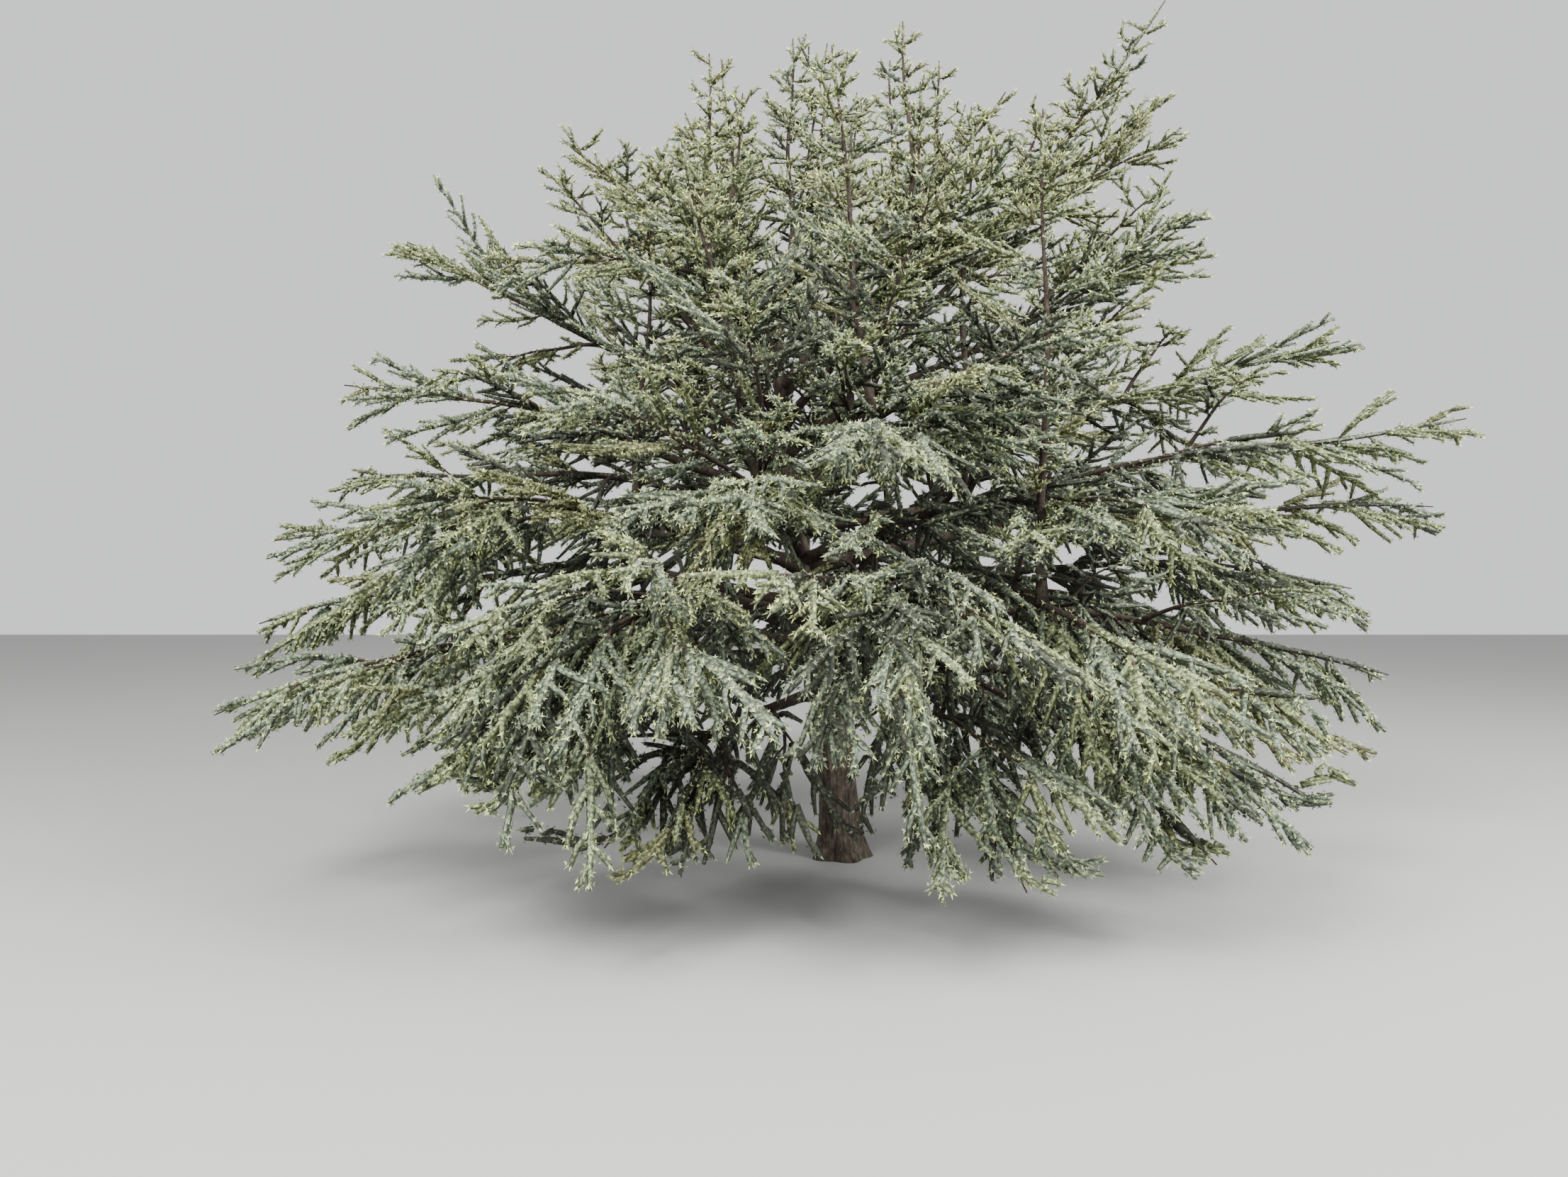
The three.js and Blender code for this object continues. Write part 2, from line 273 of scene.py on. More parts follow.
def trunk_centre(height):
    """The middle of the trunk: it leans left, then comes part of the way back."""
    out = smoothstep(height, 0.0, LEAN_HEIGHT)
    back = smoothstep(height, LEAN_HEIGHT, TRUNK_HEIGHT)
    sideways = LEAN_BACK * back - LEAN * out
    return np.stack([sideways, 0 * sideways, height + 0 * sideways], axis=-1)


def trunk_radius(height, turn):
    share = np.clip(1 - height / TRUNK_HEIGHT, 0.0, 1.0)
    taper = TRUNK_TIP_RADIUS + (TRUNK_RADIUS - TRUNK_TIP_RADIUS) * share**TRUNK_TAPER
    lobes = 1 + ROOT_LOBE_DEPTH * np.cos(ROOT_LOBES * turn)
    return taper + FLARE * lobes * np.exp(-height / FLARE_HEIGHT)


def bark_relief(points, turn, scale):
    """How far bark stands out at each point: ridged noise drawn out along the stem."""
    relief = np.empty(len(points))
    for number, (point, angle) in enumerate(zip(points, turn)):
        around = angle * scale
        place = Vector((math.cos(angle) * scale, math.sin(angle) * scale, point[2] / PLATE_HEIGHT))
        place += Vector((0.0, 0.0, PLATE_SWERVE * math.sin(3 * around + point[2] * 9)))
        coarse = 1 - abs(noise.noise(place))
        fine = noise.noise(place * 2.7)
        relief[number] = coarse * coarse * 0.8 + 0.25 * fine
    return relief


heights = TRUNK_HEIGHT * (np.arange(TRUNK_RINGS) / (TRUNK_RINGS - 1)) ** RING_CROWDING
turns = np.arange(TRUNK_SIDES) * 2 * math.pi / TRUNK_SIDES
height_grid, turn_grid = np.meshgrid(heights, turns, indexing="ij")
trunk_spread = trunk_radius(height_grid, turn_grid)
outwards = np.stack([np.cos(turn_grid), np.sin(turn_grid), 0 * turn_grid], axis=-1)
trunk_points = trunk_centre(height_grid) + outwards * trunk_spread[..., None]
plates_round = TRUNK_RADIUS / PLATE_WIDTH
relief = bark_relief(trunk_points.reshape(-1, 3), turn_grid.ravel(), plates_round)
relief = relief.reshape(height_grid.shape) - PLATE_LEVEL
depth = PLATE_DEPTH * np.minimum(1.0, trunk_spread / TRUNK_RADIUS)
trunk_points += outwards * (relief * depth)[..., None]
trunk_corners, trunk_starts = tube_faces(1, TRUNK_RINGS, TRUNK_SIDES)
trunk_paint = bark_material(
    "trunk_bark", (1.0, 1.0, 0.22), 55.0, (0.020, 0.015, 0.011, 1), (0.085, 0.066, 0.050, 1),
    (0.20, 0.17, 0.135, 1), (0.085, 0.095, 0.050, 1), 0.7
)
trunk = make_piece(
    "trunk_bark", trunk_points.reshape(-1, 3), trunk_corners, trunk_starts, [trunk_paint],
    smooth=True
)
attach(trunk, "root")
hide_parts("trunk")


# The limbs. Each leaves the trunk on a thickened collar, arches out and ends in the tip of
# its own spray of foliage; smaller limbs fork off it. The low ones droop, the top ones climb.
# Their bark is thin and dark brown, scaly near the trunk and smooth at the tip.

# Columns: name, height on the trunk, bearing in degrees from +X, reach, height of the tip,
# rise of the arch, half width and depth of the foliage, share that is bare, radius at the trunk.
LIMB_TABLE = [
    ("front_left_skirt", 0.960, 236, 2.020, 0.460, 0.190, 0.470, 0.230, 0.36, 0.040),
    ("front_skirt", 1.120, 287, 2.170, 0.380, 0.330, 0.520, 0.300, 0.36, 0.038),
    ("front_right_skirt", 1.180, 313, 2.290, 0.385, 0.330, 0.500, 0.300, 0.34, 0.038),
    ("right_skirt", 1.050, 341, 2.570, 0.480, 0.300, 0.560, 0.280, 0, 0.040),
    ("left_skirt", 1.150, 217, 2.150, 0.640, 0.300, 0.560, 0.280, 0, 0.038),
    ("back_right_skirt", 1.060, 42, 2.500, 0.470, 0.300, 0.760, 0.280, 0, 0.038),
    ("back_left_skirt", 1.120, 128, 2.450, 0.480, 0.300, 0.760, 0.280, 0, 0.038),
    ("left_low", 1.250, 197, 3.370, 0.960, 0.260, 0.560, 0.360, 0.32, 0.046),
    ("left_lower_middle", 1.480, 186, 3.330, 1.400, 0.260, 0.500, 0.330, 0, 0.042),
    ("front_low", 1.500, 273, 2.680, 1.270, 0.240, 0.500, 0.430, 0.34, 0.040),
    ("front_right_low", 1.420, 298, 2.720, 1.200, 0.260, 0.520, 0.430, 0.36, 0.042),
    ("right_low", 1.300, 346, 2.960, 1.140, 0.220, 0.540, 0.360, 0.32, 0.044),
    ("back_right_low", 1.380, 26, 3.320, 1.120, 0.300, 0.760, 0.330, 0, 0.044),
    ("back_low", 1.500, 86, 3.200, 1.180, 0.300, 0.860, 0.380, 0, 0.044),
    ("back_left_low", 1.340, 150, 3.330, 1.150, 0.300, 0.760, 0.330, 0, 0.044),
    ("front_left_low", 1.380, 237, 2.560, 1.240, 0.240, 0.540, 0.420, 0, 0.042),
    ("left_middle", 1.750, 179, 3.420, 1.890, 0.150, 0.500, 0.330, 0.30, 0.040),
    ("left_front_middle", 1.700, 214, 2.620, 1.900, 0.190, 0.500, 0.360, 0, 0.038),
    ("front_left_middle", 1.800, 255, 2.150, 1.960, 0.190, 0.480, 0.360, 0, 0.036),
    ("front_right_middle", 1.760, 309, 2.420, 1.860, 0.210, 0.520, 0.400, 0, 0.038),
    ("right_middle", 1.720, 358, 3.480, 2.080, 0.120, 0.480, 0.330, 0.30, 0.042),
    ("right_back_middle", 1.600, 10, 3.440, 1.600, 0.160, 0.500, 0.330, 0, 0.040),
    ("back_middle", 1.900, 62, 3.080, 2.050, 0.200, 0.860, 0.400, 0, 0.038),
    ("back_left_middle", 1.850, 122, 3.080, 2.050, 0.200, 0.860, 0.400, 0, 0.038),
    ("left_upper_middle", 2.050, 172, 3.180, 2.300, 0.120, 0.460, 0.320, 0, 0.034),
    ("left_upper", 2.100, 195, 2.770, 2.680, 0.130, 0.430, 0.290, 0.30, 0.036),
    ("front_upper", 2.050, 277, 2.030, 2.260, 0.190, 0.520, 0.380, 0, 0.034),
    ("right_long", 1.950, 352, 3.470, 2.540, 0.020, 0.420, 0.260, 0.32, 0.040),
    ("right_upper", 2.200, 3, 3.080, 3.120, 0.020, 0.480, 0.300, 0.30, 0.036),
    ("back_right_upper", 2.250, 42, 2.850, 2.780, 0.120, 0.780, 0.380, 0, 0.034),
    ("back_left_upper", 2.300, 140, 2.780, 2.850, 0.120, 0.780, 0.380, 0, 0.034),
    ("left_high", 2.350, 186, 2.520, 3.590, 0.060, 0.450, 0.330, 0.28, 0.032),
    ("left_top", 2.500, 177, 1.800, 4.150, 0.040, 0.480, 0.380, 0.30, 0.032),
    ("front_left_high", 2.500, 236, 1.620, 3.500, 0.090, 0.560, 0.360, 0, 0.030),
    ("front_right_high", 2.550, 299, 1.480, 3.620, 0.090, 0.560, 0.360, 0, 0.030),
    ("right_high", 2.450, 346, 1.990, 3.520, 0.030, 0.460, 0.340, 0.30, 0.030),
    ("right_leader", 2.400, 338, 1.830, 4.740, -0.160, 0.400, 0.340, 0.42, 0.036),
    ("right_top", 2.800, 344, 0.970, 4.450, -0.060, 0.430, 0.360, 0.28, 0.026),
    ("left_top_inner", 2.900, 187, 0.930, 4.400, 0.020, 0.500, 0.400, 0, 0.024),
    ("crown_tip", 3.250, 180, 0.080, 4.870, 0.000, 0.600, 0.520, 0, 0.014),
    ("back_right_high", 2.750, 52, 1.750, 4.150, 0.060, 0.680, 0.420, 0, 0.028),
    ("back_left_high", 2.800, 128, 1.700, 4.200, 0.060, 0.680, 0.420, 0, 0.028),
]
LIMB_RINGS = 48
LIMB_SIDES = 10
LIMB_TIP_RADIUS = 0.0035
LIMB_TAPER = 1.1
LESSER_RINGS = 20
LESSER_SIDES = 6
RING_EVENNESS = 0.95
COLLAR = 0.35
COLLAR_FADE = 22
KNOB = 0.13
WANDER = 0.020
GOLDEN_TURN = 137.508
LESSER_LIMBS = 66
LESSER_LOWEST = 1.0
LESSER_HIGHEST = 4.68
LESSER_TURN = 40.0
LESSER_REACH = 0.93
SIDE_CUT = 0.20
FRONT_CUT = 0.90
FRONT_BEARINGS = (225, 315)
LEADER_GAP = (3.75, 0.85)
INNER_LIMBS = 72
INNER_LOWEST = 1.05
INNER_HEIGHTS = 2.5
INNER_TURN = 250.0
INNER_REACH = 1.80
INNER_NARROWING = 0.45
FORK_PLACES = (0.06, 0.86, 25)
FORK_OUTER = 0.62
BEND_COST = 1.5
OUTER_COST = 2.0
ASIDE_COST = 2.5
FORK_BREADTH = 0.32
FORK_BREADTHS = (0.26, 0.48)
FORK_HANG = 0.6
FORK_ARCH = 0.05
STEM_HOLLOW = 0.12
TOP_NARROWING = 0.45
TOP_HEIGHTS = (3.9, 4.6)
STEM_RISE = 1.15
STEM_HEIGHT = (3.1, 3.8)
STEM_OUTSIDE = (0.9, 1.4)
UPRIGHT_SLOPE = (0.42, 0.78)
FORK_RADIUS = 0.014
STEM_RADIUS = 0.026
LOW_TIER = 0.9
TIER_HEIGHTS = 3.2
LEAST_LIMIT = 0.86
CROWN_HALF_WIDTH = 3.4
CROWN_HALF_DEPTH = 3.1
CROWN_WIDEST = 1.3
CROWN_RISE = 3.45

# Tips of smaller limbs that show as shelves in the front or as spikes along the top: X, Y, Z.
SHOWN_TIPS = [
    (-0.34, -1.90, 2.29), (-0.56, -2.07, 1.95), (0.31, -1.97, 2.15), (0.61, -2.17, 1.90),
    (-0.37, -2.47, 1.62), (-0.75, -2.62, 1.22), (1.30, -2.10, 1.15), (-1.60, -2.05, 1.00),
    (-2.07, -1.70, 1.08), (-2.45, -1.55, 1.14), (-1.55, -1.95, 1.50), (-2.20, -1.45, 1.65),
    (-0.22, -2.25, 1.12), (0.12, -2.35, 0.98), (-1.20, -2.10, 0.90), (-1.80, -1.90, 0.86),
    (-0.30, -1.55, 2.85), (0.35, -1.50, 3.00), (0.95, -1.60, 2.75), (-0.95, -1.50, 2.75),
    (-0.55, -0.95, 4.12), (0.00, -1.05, 3.95), (0.36, -0.90, 4.20), (0.64, -0.80, 4.12),
    (1.15, -0.70, 3.60), (-1.05, -0.75, 3.85), (0.75, -2.15, 0.78), (1.25, -1.95, 0.82),
    (1.60, -1.70, 0.80), (-0.15, -1.75, 1.72), (0.45, -1.85, 1.55),
    (-0.62, 0.25, 4.60), (-0.29, -0.30, 4.74), (0.12, 0.35, 4.74), (0.27, -0.25, 4.64),
    (0.53, 0.10, 4.54), (0.80, 0.30, 4.64), (-0.92, -0.20, 4.28), (-1.16, 0.20, 4.26),
    (-0.80, -1.85, 0.52), (-0.48, -1.78, 0.60), (-1.00, -1.40, 0.62),
    (0.22, -1.90, 0.50), (-0.30, -1.60, 0.62), (0.10, -2.00, 1.48), (-0.52, -1.80, 1.42),
    (0.02, -2.15, 1.90), (0.28, -2.25, 1.66), (-0.18, -1.95, 2.60), (0.75, -1.85, 2.45),
    (0.08, -1.45, 1.98), (0.40, -1.50, 1.92), (-0.60, -1.40, 1.80),
    (1.52, -0.65, 4.42), (1.70, -0.62, 4.22), (1.78, -0.66, 4.00), (1.74, -0.60, 3.78),
    (1.08, -0.60, 4.20), (-0.34, -1.55, 1.20), (-0.20, -1.72, 1.00), (-0.10, -1.50, 1.42),
]

chance = np.random.default_rng(1703)


def smooth_noise(points, scale):
    return np.array([noise.noise(Vector(point) * scale) for point in points.reshape(-1, 3)])


def exposure(points):
    """How far out in the crown points lie: 0 at its heart and 1 at its domed surface."""
    across = (points[..., 0] / CROWN_HALF_WIDTH) ** 2 + (points[..., 1] / CROWN_HALF_DEPTH) ** 2
    above = np.maximum(points[..., 2] - CROWN_WIDEST, 0.0) / CROWN_RISE
    return np.sqrt(across + above**2)


class Limb:
    """A limb's middle line and the size and habit of the foliage that it carries."""

    def __init__(self, name, start, tip, rise, width, hang, bare, wood):
        self.name, self.start, self.tip, self.rise = name, start, tip, rise
        self.width, self.hang, self.bare, self.wood = width, hang, bare, wood
        self.control = (self.start + self.tip) / 2 + np.array([0, 0, 2 * self.rise])
        chord = self.tip - self.start
        self.length = float(np.linalg.norm(chord))
        self.side = unit(np.array([-chord[1], chord[0], 0.0]))
        self.steep = float(chord[2] / self.length)
        self.upright = float(smoothstep(np.array(self.steep), *UPRIGHT_SLOPE))
        self.height_share = float(np.clip((tip[2] - LOW_TIER) / TIER_HEIGHTS, 0.0, 1.0))
        self.reach = float(exposure(self.tip))
        self.limit = max(self.reach, LEAST_LIMIT)
        self.phase = chance.uniform(0, 2 * math.pi, 2)

    def line(self, share):
        """Points of the middle line: the arch, with a slight natural wander."""
        share = np.asarray(share, dtype=float)[..., None]
        arch = (
            (1 - share) ** 2 * self.start
            + 2 * share * (1 - share) * self.control
            + share**2 * self.tip
        )
        free = np.sin(math.pi * share)
        sway = np.sin(7.0 * share + self.phase[0]) * free
        lift = np.sin(9.0 * share + self.phase[1]) * free
        sideways = WANDER * self.length * sway * self.side
        return arch + sideways + 0.5 * WANDER * self.length * lift * np.array([0.0, 0.0, 1.0])

    def frame_at(self, share):
        """The directions along, across and up from the limb at shares of its length."""
        step = 1e-3
        along = unit(self.line(np.asarray(share) + step) - self.line(np.asarray(share) - step))
        across = unit(self.side - along * (along @ self.side)[..., None])
        return along, across, np.cross(along, across)


def at_bearing(bearing, reach, height):
    angle = math.radians(bearing)
    return np.array([reach * math.cos(angle), reach * math.sin(angle), height])


def spread_tips():
    """Tips spread evenly over the dome of the crown, round by the golden angle."""
    tips = []
    for count in range(LESSER_LIMBS):
        height = LESSER_LOWEST + (LESSER_HIGHEST - LESSER_LOWEST) * (count + 0.5) / LESSER_LIMBS
        bearing = (count * GOLDEN_TURN + LESSER_TURN) % 360.0
        way = at_bearing(bearing, 1.0, 0.0)
        above = max(height - CROWN_WIDEST, 0.0) / CROWN_RISE
        spread = math.sqrt(1 - above**2)
        spread /= math.hypot(way[0] / CROWN_HALF_WIDTH, way[1] / CROWN_HALF_DEPTH)
        reach = spread * (LESSER_REACH - SIDE_CUT * way[0] ** 2)
        reach *= FRONT_CUT if FRONT_BEARINGS[0] < bearing < FRONT_BEARINGS[1] else 1.0
        tip = at_bearing(bearing, reach, height)
        if height < LEADER_GAP[0] or tip[0] < LEADER_GAP[1]:
            tips.append(tip)
    return tips


def inner_tips():
    """Tips of the shaded limbs inside the crown, on a smaller dome than its surface."""
    tips = []
    for count in range(INNER_LIMBS):
        height = INNER_LOWEST + INNER_HEIGHTS * (count + 0.5) / INNER_LIMBS
        bearing = (count * GOLDEN_TURN + INNER_TURN) % 360.0
        reach = INNER_REACH * (1 - INNER_NARROWING * (count + 0.5) / INNER_LIMBS)
        tips.append(at_bearing(bearing, reach, height))
    return tips


def forks_to(tips, large_limbs):
    """The smaller limbs: one to each tip. A low one forks off the large limb that leads there
    best; a high one stands up like a candle from the limb under its tip."""
    shares = np.linspace(*FORK_PLACES)
    feet = np.concatenate([limb.line(shares) for limb in large_limbs])
    ways = np.concatenate([limb.frame_at(shares)[0] for limb in large_limbs])
    outer = np.tile(shares > FORK_OUTER, len(large_limbs))
    forks = []
    for tip in tips:
        leap = np.array(tip) - feet
        length = np.linalg.norm(leap, axis=1)
        bend = 1 - (leap * ways).sum(axis=1) / length
        upright = float(smoothstep(np.array(tip[2]), *STEM_HEIGHT))
        upright *= float(1 - smoothstep(np.array(abs(tip[0] + 0.1)), *STEM_OUTSIDE))
        aside = np.hypot(leap[:, 0], leap[:, 1])
        forward = length * (1 + BEND_COST * bend) + OUTER_COST * outer
        upward = ASIDE_COST * aside + np.abs(leap[:, 2] - STEM_RISE)
        best = int((forward * (1 - upright) + upward * upright).argmin())
        width = float(np.clip(FORK_BREADTH * length[best], *FORK_BREADTHS))
        width *= float(1 - TOP_NARROWING * smoothstep(np.array(tip[2]), *TOP_HEIGHTS))
        rise = FORK_ARCH - STEM_HOLLOW * upright
        wood = FORK_RADIUS + (STEM_RADIUS - FORK_RADIUS) * upright
        habit = (rise, width, FORK_HANG * width, 0.0, wood)
        forks.append(Limb("fork", feet[best], np.array(tip), *habit))
    return forks


main_limbs = [
    Limb(name, trunk_centre(np.array(leaves)), at_bearing(bearing, reach, height), *habit)
    for name, leaves, bearing, reach, height, *habit in LIMB_TABLE
]
stem_top = Limb(
    "stem", trunk_centre(np.array(1.6)), trunk_centre(np.array(4.5)), 0.0, 0.42, 0.42, 0.0, 0.012
)
lesser_tips = spread_tips() + SHOWN_TIPS + inner_tips()
limbs = main_limbs + forks_to(lesser_tips, main_limbs + [stem_top]) + [stem_top]
limb_paint = bark_material(
    "limb_bark", (1.0, 1.0, 1.0), 90.0, (0.012, 0.008, 0.006, 1), (0.040, 0.027, 0.020, 1),
    (0.088, 0.068, 0.055, 1), (0.042, 0.044, 0.026, 1), 0.5
)


def limb_wood(name, chosen, rings, sides):
    """The tapering, slightly knobbly wood of some limbs, as one piece."""
    shares = (np.arange(rings) / (rings - 1)) ** RING_EVENNESS
    lines = np.array([limb.line(shares) for limb in chosen])
    taper = (1 - shares) ** LIMB_TAPER * (1 + COLLAR * np.exp(-shares * COLLAR_FADE))
    radii = np.array([LIMB_TIP_RADIUS + (limb.wood - LIMB_TIP_RADIUS) * taper for limb in chosen])
    points, outward = tube_rings(lines, radii, sides)
    bumps = smooth_noise(points, 22.0) + 0.5 * smooth_noise(points, 60.0)
    bumps = bumps.reshape(points.shape[:3]) * KNOB * radii[:, :, None]
    points += outward * bumps[..., None]
    corners, starts = tube_faces(len(chosen), rings, sides)
    piece = make_piece(name, points.reshape(-1, 3), corners, starts, [limb_paint], smooth=True)
    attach(piece, "root")
    return piece


large_wood = limb_wood("limb_bark", main_limbs, LIMB_RINGS, LIMB_SIDES)
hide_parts(*["bough_" + limb.name for limb in main_limbs if limb.bare > 0])
limb_wood("lesser_limb_bark", limbs[len(main_limbs):], LESSER_RINGS, LESSER_SIDES)


# The side branches and branchlets. Side branches fan out from a limb in one broad shelf, or
# all round an upright one, and each carries two rows of shorter shoots, like fingers. The
# crowded feet of the needles thicken and colour the shoots, so that they look like soft ropes.
FOLIAGE_START = 0.10
FOLIAGE_END = 0.965
FULL_FROM = 0.30
LOWEST_FOLIAGE = 0.39
LEFT_EDGE = (1.15, 1.60)
LEFT_EDGE_RISE = 0.28
FAR_LEFT_EDGE = (1.6, 3.2)
FAR_LEFT_SHARE = 0.4
RIGHT_EDGE = (1.60, 2.60)
RIGHT_EDGE_RISE = 0.15
EDGE_SOFTNESS = 0.12
EDGE_RAGGEDNESS = 0.05
HEART = 0.60
SIDE_SPACING = 0.125
SIDE_POINTS = 6
YOUNG_BREADTH = 0.50
HANGING_SHARE = 0.42
HANGING_FALL = 0.27
HANGING_TILTS = (-80, -32)
RISING_FROM = 0.90
RISING_FALL = 0.12
RISING_TILTS = (30, 80)
SIDE_ANGLE = 54
SIDE_CLOSING = 22
SHELF_TILT = -14
SHELF_LIFT = 18
SHELF_SPREAD = 14
STEEP_SPREAD = 36
STEM_LIFT = (0.16, 0.12)
STEM_POINTING = 0.55
FRONT_THINNING = 0.55
SIDE_LENGTHS = (0.7, 1.15)
SIDE_SHORTEST = 0.10
SIDE_SWEEP = 0.25
SIDE_DROOP = 0.24
DROOP_FALL = 0.34
SIDE_ROOT_RADIUS = 0.0085
FINGER_SPACING = 0.076
HEART_SPACING = 1.4
TOP_CROWDING = 0.40
STEM_CROWDING = 0.42
FINGER_POINTS = 3
FINGER_SHARE = 0.40
FINGER_SHORTEST = 0.045
FINGER_LONGEST = 0.25
FINGER_LEAST = 0.032
FINGER_LENGTHS = (0.65, 1.25)
FINGER_ANGLE = (47, 8)
FINGER_TILT = -34
FINGER_LIFT = 42
FINGER_SWEEP = 0.20
BRANCHLET_SPLIT = 0.35
CORE_RADIUS = 0.0235
CORE_TIP_RADIUS = 0.0105
CORE_SIDES = 3
GIRTH_VARIATION = (0.84, 1.16)
SLIM_UNDER = 0.25
SLIM = 0.8
SHOOT_TAPER = 0.7
LIMB_END_FROM = 0.34
LIMB_END_GIRTH = 0.66
TOP_FINENESS = 0.46
SIDE_TIP_RADIUS = 0.0060
ROSETTE_SIZE = 0.019
# The mixes of colour classes for sprays inside the crown, low down and high up. The inner mix is
# painted shade: most of its sprays take the dark shaded class.
SHADED_INNER_MIX = (0.66, 0.26, 0.05, 0.0, 0.03)
LOW_MIX = (0.03, 0.49, 0.32, 0.14, 0.02)
HIGH_MIX = (0.03, 0.16, 0.43, 0.07, 0.31)
OUTER_FROM = 0.50
OUTER_FADE = 0.30
HIGH_FROM = 1.6
HIGH_FADE = 2.0
# Painted shade: sprays in this hollow at the front middle of the crown are dealt more of the inner
# mix, with its dark shaded class.
HOLLOW_PLACE = (0.20, -1.40, 2.00)
HOLLOW_SIZE = (0.90, 1.30, 0.85)
HOLLOW_SHADE = 0.62
FEET_GRAIN = 4.2
FEET_RELIEF = 0.006
FEET_ROUGHNESS = 0.8
STRIPS_OF_TINT = 4
STRIP_EDGE = 0.08
STRIP_FOOT = 0.02
STRIP_USED = 0.96
STRIP_LENGTH = 2.4
STRIP_GAP = 3.0
STRIP_GIRTH = 0.0135
# Painted shade in the furrows between the rosettes on the shoots, and a painted highlight on the
# crest where each rosette opens.
FURROW_PAINTED_SHADE = 0.22
PAINTED_SHADE_HEIGHTS = (0.30, 0.62)
CREST_PAINTED_HIGHLIGHT = 2.3
PAINTED_HIGHLIGHT_HEIGHTS = (0.62, 0.98)
# The first shoot colour is painted shade, for the sprays dealt the dark shaded class.
SHOOT_COLOURS = [
    ("shaded_feet", (0.034, 0.040, 0.022)),
    ("grey_blue_feet", (0.116, 0.144, 0.092)),
    ("grey_green_feet", (0.142, 0.166, 0.073)),
    ("glaucous_feet", (0.176, 0.212, 0.116)),
    ("olive_feet", (0.132, 0.140, 0.060)),
]


class Shoots:
    """Many shoots of one rank: their middle lines, lengths, colour classes and girths, and the
    limb and the habit (0 in the low drooping tiers, 1 in the top ones) of each."""

    def __init__(self, lines, owners, habits, tints=None, girth=0.0):
        self.lines = lines
        self.owners = owners
        self.habits = habits
        self.tints = tints
        self.girth = girth
        self.lengths = np.linalg.norm(np.diff(lines, axis=1), axis=2).sum(axis=1)

    def point_at(self, which, share):
        """Points and directions at shares of the lengths of the chosen shoots."""
        steps = self.lines.shape[1] - 1
        place = np.clip(share * steps, 0, steps - 1e-6)
        near = place.astype(int)
        part = (place - near)[:, None]
        first = self.lines[which, near]
        second = self.lines[which, near + 1]
        return first + (second - first) * part, unit(second - first)


def keep_off_ground(points):
    """Lifts what would hang lower than the crown's lower edge, softly."""
    far_left = FAR_LEFT_SHARE * smoothstep(-points[..., 0], *FAR_LEFT_EDGE)
    left = smoothstep(-points[..., 0], *LEFT_EDGE) + far_left
    right = smoothstep(points[..., 0], *RIGHT_EDGE)
    ragged = np.sin(9 * points[..., 0] + 4 * points[..., 1])
    ragged = ragged + np.sin(5 * points[..., 1] - 13 * points[..., 0])
    lowest = LOWEST_FOLIAGE + LEFT_EDGE_RISE * left + RIGHT_EDGE_RISE * right
    lowest = lowest + EDGE_RAGGEDNESS * ragged * np.clip(left + right + 0.2, 0.0, 1.0)
    height = points[..., 2]
    above = np.minimum(height - lowest - EDGE_SOFTNESS, 0.0) / EDGE_SOFTNESS
    points[..., 2] = np.where(above < 0, lowest + EDGE_SOFTNESS * np.exp(above), height)
    return points


def inside_crown(starts, directions, lengths, limits):
    """Shortens shoots that would stand out of the crown beyond their own limb's tip."""
    kept = lengths * 0.30
    for part in np.linspace(0.4, 1.0, 7):
        ends = starts + directions * (lengths * part)[:, None]
        kept = np.where(exposure(ends) < limits, lengths * part, kept)
    return kept


def shoot_lines(starts, directions, lengths, sweep, droop, count):
    """Curved lines: each leaves in its direction, sweeps forward and droops or turns up."""
    share = np.linspace(0.0, 1.0, count)[None, :, None]
    reach = lengths[:, None, None]
    lines = starts[:, None, :] + directions[:, None, :] * share * reach
    lines = lines + sweep[:, None, :] * share**2 * reach
    lines = lines - droop[:, None, None] * share**2 * reach * np.array([0.0, 0.0, 1.0])
    return keep_off_ground(lines)


def fullness(share):
    """How far foliage reaches from its limb at a share of the spray: full, then to a point."""
    return np.sin(math.pi * np.clip(share, 0.0, 1.0) ** 0.9) ** 0.6


limb_limits = np.array([limb.limit for limb in limbs])
limb_reaches = np.array([limb.reach for limb in limbs])


